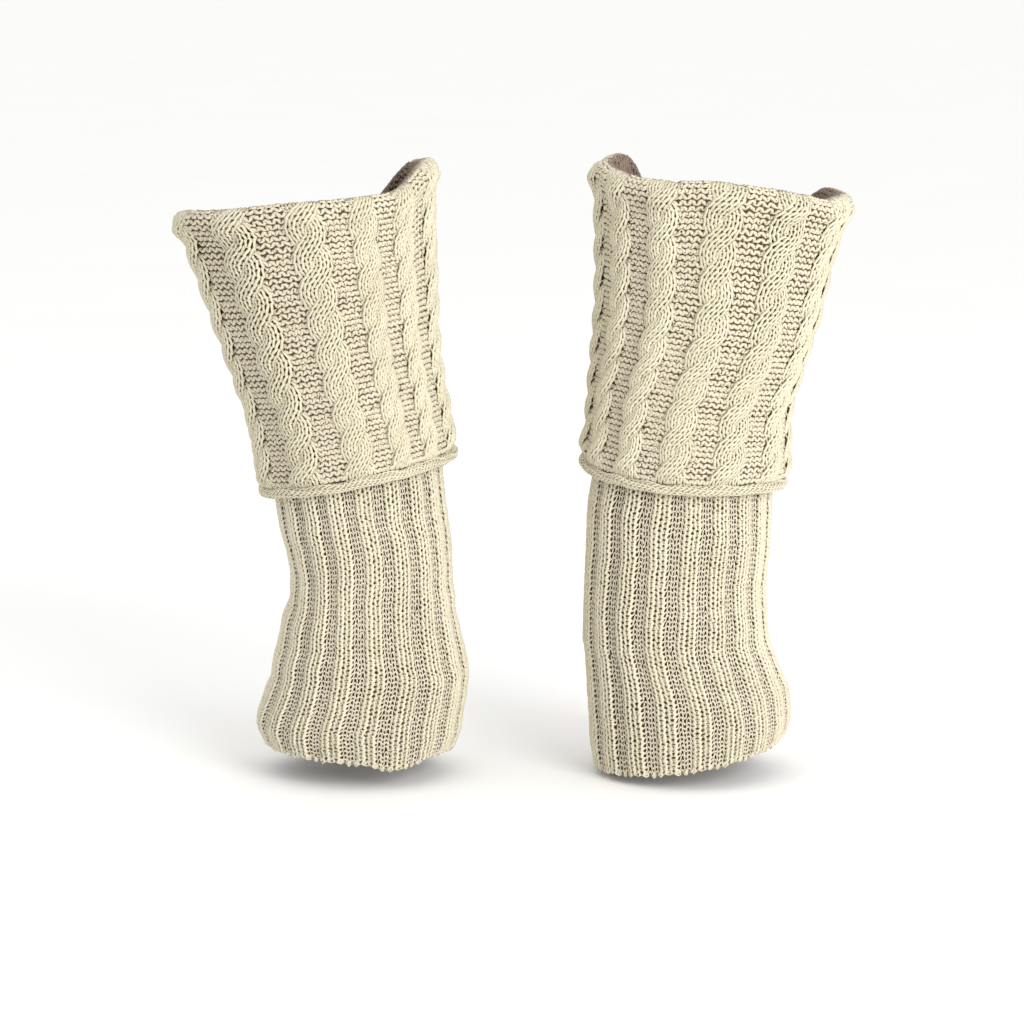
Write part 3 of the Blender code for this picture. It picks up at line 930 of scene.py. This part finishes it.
def tube_shell(warmer):
    """The thin wall behind the loops of the rib."""
    top = rim_height(warmer) - LIP_DROP - LIP_GAP
    bottom = warmer.tube[0].height + 1.0
    share = (np.arange(RIB_SHELL_COLUMNS)[None, :] + 0.5) / RIB_SHELL_COLUMNS
    outer_heights = np.linspace(bottom, top, RIB_SHELL_OUTER_ROWS)
    inner_heights = np.linspace(top, bottom, RIB_SHELL_INNER_ROWS)
    relief = rib_relief(share)
    outer_out = -SHELL_UNDER_YARN - RIB_RAISE * (1.0 - relief)
    outer_out = np.maximum(outer_out, THINNEST_WALL - RIB_RAISE - TUBE_WALL)
    outer = on_tube(warmer, share, outer_heights[:, None], outer_out)
    inner_out = -RIB_RAISE - TUBE_WALL + 0.0 * share
    inner = on_tube(warmer, share, inner_heights[:, None], inner_out)
    loops = np.concatenate((outer, inner))
    inside = np.concatenate((np.zeros(RIB_SHELL_OUTER_ROWS), np.ones(RIB_SHELL_INNER_ROWS)))
    return grid_piece(warmer.name + "_rib_shell", loops, inside)


def cuff_shell(warmer):
    """The thin wall behind the loops of the cuff, over the fold and down to its lip."""
    share = (np.arange(CUFF_SHELL_COLUMNS)[None, :] + 0.5) / CUFF_SHELL_COLUMNS
    length = cuff_length(warmer)
    wall = length - np.pi * FOLD_RADIUS - LIP_DROP
    up_the_wall = np.linspace(0.0, wall, CUFF_SHELL_OUTER_ROWS)[:-1]
    over_the_fold = np.linspace(wall, length, FOLD_OUTER_ROWS)
    back_under_it = np.linspace(length, wall, FOLD_INNER_ROWS)
    down_the_wall = np.linspace(wall, 0.0, CUFF_SHELL_INNER_ROWS)[1:]
    outer_along = np.concatenate((up_the_wall, over_the_fold))
    inner_along = np.concatenate((back_under_it, down_the_wall))
    along = outer_along[:, None]
    crossing = crossing_at(along)
    across = ((share * CABLES_ROUND + 0.5 * CABLE_SHARE) % 1.0) / CABLE_SHARE
    relief = np.zeros(np.broadcast(along, share).shape)
    for over in (True, False):
        off_middle = across - strand_middle(crossing, over)
        inside_strand = np.abs(off_middle) < 0.5 * STRAND_SHARE
        height = strand_relief(crossing, off_middle, over) - CUFF_SHELL_UNDER_STRAND
        relief = np.where(inside_strand, np.maximum(relief, height), relief)
    relief = relief * cable_fade(warmer, along)
    lay = ground(warmer, along) + np.maximum(relief, PURL_UP) - CUFF_SHELL_UNDER_YARN
    lay = np.maximum(lay, ground(warmer, along) - CUFF_WALL + PURL_UP)
    outer = on_cuff(warmer, share, along, lay)
    inner_lay = ground(warmer, inner_along[:, None]) - CUFF_WALL + 0.0 * share
    inner = on_cuff(warmer, share, inner_along[:, None], inner_lay)
    loops = np.concatenate((outer, inner))
    inside = np.concatenate((np.zeros(len(outer_along)), np.ones(len(inner_along))))
    return grid_piece(warmer.name + "_cuff_shell", loops, inside)


def edge_point(warmer, share, turn, radius):
    """Points round the rolled edge's bead. A turn of 0 faces up and 90 degrees out."""
    hem = warmer.cuff[0].height
    drop = SEAM_GAP + ROLL_RADIUS
    angle = spread(share, warmer.spread_cables) + 0.0 * turn
    waver = QUICK_WAVE * np.sin(2.0 * np.pi * share * QUICK_WAVES + warmer.phase)
    waver = waver + SLOW_WAVE * np.sin(2.0 * np.pi * share * SLOW_WAVES)
    radius = radius + ROLL_SWELL * waver
    out = -ROLL_CENTRE_IN + radius * np.sin(turn)
    rise = radius * np.cos(turn) - drop + ROLL_SWAY * waver + ROLL_OVERLAP
    rise = rise + edge_lift(warmer.hem, angle)
    height = np.full(np.broadcast(angle, out).shape, hem)
    return on_form(warmer, warmer.cuff, height, angle, out, rise)


def edge_core(warmer):
    """The bead that the edge's stitches lie on."""
    share = np.arange(EDGE_CORE_COLUMNS)[None, :] / EDGE_CORE_COLUMNS
    turn = -2.0 * np.pi * np.arange(EDGE_CORE_ROWS)[:, None] / EDGE_CORE_ROWS
    loops = edge_point(warmer, share, turn, ROLL_RADIUS - EDGE_CORE_UNDER_YARN)
    return grid_piece(warmer.name + "_edge_core", loops, np.zeros(EDGE_CORE_ROWS))


def edge_yarn(warmer):
    """The rolled edge: narrow plain knitting that has curled up, its wales along the hem."""
    knit_across, knit_up, knit_out, _ = turns_of(SLACK_KNIT)
    wale = np.arange(EDGE_WALES)[None, :, None]
    course = np.arange(EDGE_COURSES)[:, None, None]
    stray = random.normal(0.0, EDGE_UNEVEN_UP, (EDGE_COURSES, EDGE_WALES, 1))
    share = (course + knit_up + stray) / EDGE_COURSES
    turn = 2.0 * np.pi * (wale + 0.5 + knit_across) / EDGE_WALES + EDGE_TWIST * course
    radius = ROLL_RADIUS - EDGE_LOOPS_IN + EDGE_LOOP_DEPTH * knit_out + 0.0 * share
    paths = edge_point(warmer, share, turn, radius)
    outward = unit(edge_point(warmer, share, turn, radius + OUTWARD_STEP) - paths)
    deep = np.broadcast_to(-knit_out, (EDGE_COURSES, EDGE_WALES, len(SLACK_KNIT)))
    marks = {
        "purl": np.zeros((EDGE_COURSES, EDGE_WALES * len(SLACK_KNIT))),
        "deep": deep.reshape(EDGE_COURSES, -1),
    }
    paths = paths.reshape(EDGE_COURSES, -1, 3)
    outward = outward.reshape(EDGE_COURSES, -1, 3)
    return yarn(warmer.name + "_edge_yarn", paths, outward, EDGE_YARN, True, marks)


def cast_on_yarn(warmer):
    """The cast-on edge: one strand that wraps over the foot of every column of stitches."""
    stitches = RIB_STITCHES_ROUND
    step = np.arange(stitches * CAST_ON_POINTS)[None, :]
    share = step / (stitches * CAST_ON_POINTS)
    turn = 2.0 * np.pi * step / CAST_ON_POINTS
    relief = rib_relief(share)
    out = -CAST_ON_IN - CAST_ON_RIB * (1.0 - relief) + CAST_ON_SWING_OUT * np.cos(turn)
    height = warmer.tube[0].height + CAST_ON_UP + CAST_ON_SWING_UP * np.sin(turn)
    paths, outward = outward_of(on_tube, warmer, share, height, out)
    marks = {"purl": 1.0 - relief, "deep": -CAST_ON_SHADE * np.cos(turn)}
    return yarn(warmer.name + "_cast_on", paths, outward, CAST_ON_YARN, True, marks)


def linear(code):
    """A colour as picked on a screen, as the linear values that the shader takes."""
    channels = [int(code[place : place + 2], 16) / 255.0 for place in (1, 3, 5)]
    steps = [c / 12.92 if c <= 0.04045 else ((c + 0.055) / 1.055) ** 2.4 for c in channels]
    return (*steps, 1.0)


def add_node(material, kind, settings=None, links=None):
    """A node with its settings and its inputs, which are values or other nodes' outputs."""
    tree = material.node_tree
    node = tree.nodes.new(kind)
    for setting, value in (settings or {}).items():
        setattr(node, setting, value)
    for socket, value in (links or {}).items():
        if isinstance(value, bpy.types.NodeSocket):
            tree.links.new(value, node.inputs[socket])
        else:
            node.inputs[socket].default_value = value
    return node


def point_mark(material, name):
    """What a piece's points say under a name, from 0 to 1."""
    return add_node(material, "ShaderNodeAttribute", {"attribute_name": name}).outputs["Fac"]


def noise(material, place, scale, detail):
    links = {"Vector": place, "Scale": scale, "Detail": detail}
    return add_node(material, "ShaderNodeTexNoise", {}, links).outputs["Fac"]


def maths(material, operation, *values, clamp=False):
    settings = {"operation": operation, "use_clamp": clamp}
    return add_node(material, "ShaderNodeMath", settings, dict(enumerate(values))).outputs[0]


def mix(material, share, first, second):
    """The first colour, or the second one where the share is 1."""
    links = {0: share, 6: first, 7: second}
    return add_node(material, "ShaderNodeMix", {"data_type": "RGBA"}, links).outputs[2]


def new_material(name):
    material = bpy.data.materials.new(name)
    material.use_nodes = True
    material.node_tree.nodes.clear()
    return material


def wool_yarn(name, light, dark):
    """Undyed two-ply sheep's wool, spun in the grease and hand knitted.

    The eye sees a dry, matt strand with a soft edge, its plies as faint slanted lines, and
    small changes of tone along the yarn, from cream to a greyer fawn.
    """
    material = new_material(name)
    place = add_node(material, "ShaderNodeTexCoord").outputs
    # Tone changes over about 25 mm of fabric, and over about 3 mm of yarn
    broad = noise(material, place["Object"], 40.0, 2.0)
    fine = noise(material, place["Object"], 330.0, 1.0)
    tone = maths(material, "MULTIPLY_ADD", fine, 0.6, -0.1)
    tone = maths(material, "MULTIPLY_ADD", broad, 0.5, tone, clamp=True)
    colour = mix(material, tone, linear(dark), linear(light))
    # Painted shade: the purl lies in the shade of the ribs, so its wool is mixed towards a
    # rosier, darker tone
    purl_shade_share = maths(material, "MULTIPLY", point_mark(material, "purl"), 0.55)
    colour = mix(material, purl_shade_share, colour, linear(ROSY_PURL_SHADE))
    # Painted shade: the turns of the yarn tucked back behind their neighbours are mixed towards
    # a darker fawn
    recess_shade_share = maths(material, "MULTIPLY", point_mark(material, "deep"), 0.5, clamp=True)
    colour = mix(material, recess_shade_share, colour, linear(RECESS_SHADE))
    # Painted shade: past the rim the light hardly reaches, so the wool there is painted a rosy
    # brown
    colour = mix(material, point_mark(material, "inside"), colour, linear(INSIDE_SHADE))
    # Two plies that turn once in about 4 mm of yarn: UV is millimetres along, and round
    parts = add_node(material, "ShaderNodeSeparateXYZ", {}, {0: place["UV"]}).outputs
    turned = maths(material, "MULTIPLY_ADD", parts[0], 0.25, parts[1])
    ply = maths(material, "SINE", maths(material, "MULTIPLY", turned, 4.0 * math.pi))
    # Fibres about 0.3 mm apart
    fibre = noise(material, place["Object"], 3200.0, 2.0)
    rough = maths(material, "MULTIPLY_ADD", ply, 0.5, fibre)
    bump = add_node(material, "ShaderNodeBump", {}, {
        "Height": rough, "Strength": 0.6, "Distance": 0.00025,
    }).outputs[0]
    shader = add_node(material, "ShaderNodeBsdfPrincipled", {}, {
        "Base Color": colour, "Normal": bump, "Roughness": 0.92, "IOR": 1.55,
        "Specular IOR Level": 0.2,
    })
    add_node(material, "ShaderNodeOutputMaterial", {}, {"Surface": shader.outputs[0]})
    return material


def knit_wall(name, stitches, rows_a_metre, hole_shade, inner_shade_dark, inner_shade_light):
    """The same wool, as the wall behind the loops: painted dark where it shows between them, as
    their shade.

    The eye sees deep brown painted shade through the holes, and on the inside a face painted in
    a shaded tan to rosy brown, with rows of small bumps, seen only past the rim or up through
    the foot.
    """
    material = new_material(name)
    place = add_node(material, "ShaderNodeTexCoord").outputs
    broad = noise(material, place["Object"], 60.0, 2.0)
    # Painted shade: the outer face takes the holes' shade, the inner face a shaded tone of the
    # wool
    shade = mix(material, broad, linear(hole_shade), linear(LIGHTER_HOLE_SHADE))
    face = mix(material, broad, linear(inner_shade_dark), linear(inner_shade_light))
    colour = mix(material, point_mark(material, "inside"), shade, face)
    # Bumps in rows: stitches round the wall, and courses about 3 mm apart up it
    parts = add_node(material, "ShaderNodeSeparateXYZ", {}, {0: place["UV"]}).outputs
    level = add_node(material, "ShaderNodeSeparateXYZ", {}, {0: place["Object"]}).outputs[2]
    across = maths(material, "MULTIPLY", parts[0], 2.0 * math.pi * stitches)
    across = maths(material, "SINE", across)
    climb = maths(material, "MULTIPLY_ADD", level, 2.0 * math.pi * rows_a_metre, across)
    climb = maths(material, "SINE", climb)
    bump = add_node(material, "ShaderNodeBump", {}, {
        "Height": climb, "Strength": 0.9, "Distance": 0.0009,
    }).outputs[0]
    shader = add_node(material, "ShaderNodeBsdfPrincipled", {}, {
        "Base Color": colour, "Normal": bump, "Roughness": 0.95, "IOR": 1.55,
        "Specular IOR Level": 0.2,
    })
    add_node(material, "ShaderNodeOutputMaterial", {}, {"Surface": shader.outputs[0]})
    return material


def studio_floor():
    """Pale painted board, rolled on matt: almost white, with a faint unevenness."""
    material = new_material("floor_board")
    place = add_node(material, "ShaderNodeTexCoord").outputs["Object"]
    broad = noise(material, place, 3.0, 2.0)
    colour = mix(material, broad, linear("#F9F9F8"), linear("#FCFCFB"))
    shader = add_node(material, "ShaderNodeBsdfPrincipled", {}, {
        "Base Color": colour, "Roughness": 0.9, "IOR": 1.5,
    })
    add_node(material, "ShaderNodeOutputMaterial", {}, {"Surface": shader.outputs[0]})
    bpy.ops.object.select_all(action="DESELECT")
    level = start_size[0][2] - FLOOR_BELOW_FEET
    bpy.ops.mesh.primitive_plane_add(size=FLOOR_SIZE, location=(0.0, 0.0, level))
    floor = bpy.context.active_object
    floor.name = "studio_floor"
    floor.data.materials.append(material)
    return floor


def add_camera():
    elevation = math.radians(CAMERA_ELEVATION)
    back = Vector((0.0, -math.cos(elevation), math.sin(elevation)))
    up = Vector((0.0, math.sin(elevation), math.cos(elevation)))
    target = Vector((-AIM_LEFT_OF_ORIGIN, 0.0, 0.0)) - AIM_BELOW_ORIGIN * up
    data = bpy.data.cameras.new("camera")
    data.lens = CAMERA_LENS
    data.sensor_width = SENSOR_WIDTH
    camera = bpy.data.objects.new("camera", data)
    camera.location = target + CAMERA_DISTANCE * back
    camera.rotation_euler = (-back).to_track_quat("-Z", "Y").to_euler()
    bpy.context.scene.collection.objects.link(camera)
    bpy.context.scene.camera = camera


def add_light(name, size, power, location):
    data = bpy.data.lights.new(name, "AREA")
    data.shape = "SQUARE"
    data.size = size
    data.energy = power
    light = bpy.data.objects.new(name, data)
    light.location = location
    light.rotation_euler = (-Vector(location)).to_track_quat("-Z", "Y").to_euler()
    bpy.context.scene.collection.objects.link(light)
    return light


def add_studio():
    """A pale room with one broad soft light from above the camera's right."""
    scene = bpy.context.scene
    scene.view_settings.view_transform = "Standard"
    world = bpy.data.worlds.new("pale_room")
    world.use_nodes = True
    background = world.node_tree.nodes["Background"]
    background.inputs["Color"].default_value = linear("#FFFFFF")
    background.inputs["Strength"].default_value = 1.0
    scene.world = world
    return [add_light("key", KEY_SIZE, KEY_POWER, KEY_PLACE), studio_floor()]


def dress(piece, material, slot, *nodes):
    """Give a finished piece its material and its place in the model."""
    piece.data.materials.clear()
    piece.data.materials.append(material)
    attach(piece, "root")
    if nodes:
        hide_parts(*nodes)
    return piece


add_camera()
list(add_studio())

rib_wool = wool_yarn("rib_wool", "#EEE8D4", "#D2C9AD")
cable_wool = wool_yarn("cable_wool", "#EAE4CF", "#CBC2A6")
edge_wool = wool_yarn("edge_wool", "#EDE7D2", "#CFC6AA")
# The walls' colours are painted shade: dark in the holes, and a shaded tan to rosy brown on the
# inside face
rib_wall = knit_wall(
    "rib_wall", RIB_STITCHES_ROUND, RIB_ROWS_A_METRE, "#51412B", "#A59682", "#C0B29D"
)
cuff_wall = knit_wall(
    "cuff_wall", CUFF_STITCHES_ROUND, CUFF_ROWS_A_METRE, "#65543B", "#8F7F70", "#A89887"
)

for one in (LEFT, RIGHT):
    side = one.name
    rows = cuff_courses(one)
    rib = dress(tube_shell(one), rib_wall, "rib_knit", side + "_rib_tube")
    rib_loops = dress(rib_yarn(one), rib_wool, "rib_knit")
    cast_on = dress(cast_on_yarn(one), rib_wool, "rib_knit")
    cuff = dress(cuff_shell(one), cuff_wall, "cable_knit", side + "_cable_cuff")
    strands = [strand_yarn(one, True, rows), strand_yarn(one, False, rows)]
    cables = dress(
        pieces_of_yarn(one, side + "_cable_yarn", strands, 0.0), cable_wool, "cable_knit"
    )
    purl = dress(
        pieces_of_yarn(one, side + "_purl_yarn", [purl_yarn(one, rows)], 0.7),
        cable_wool,
        "cable_knit",
    )
    edge = dress(edge_core(one), edge_wool, "edge_knit", side + "_rolled_edge")
    edge_loops = dress(edge_yarn(one), edge_wool, "edge_knit")
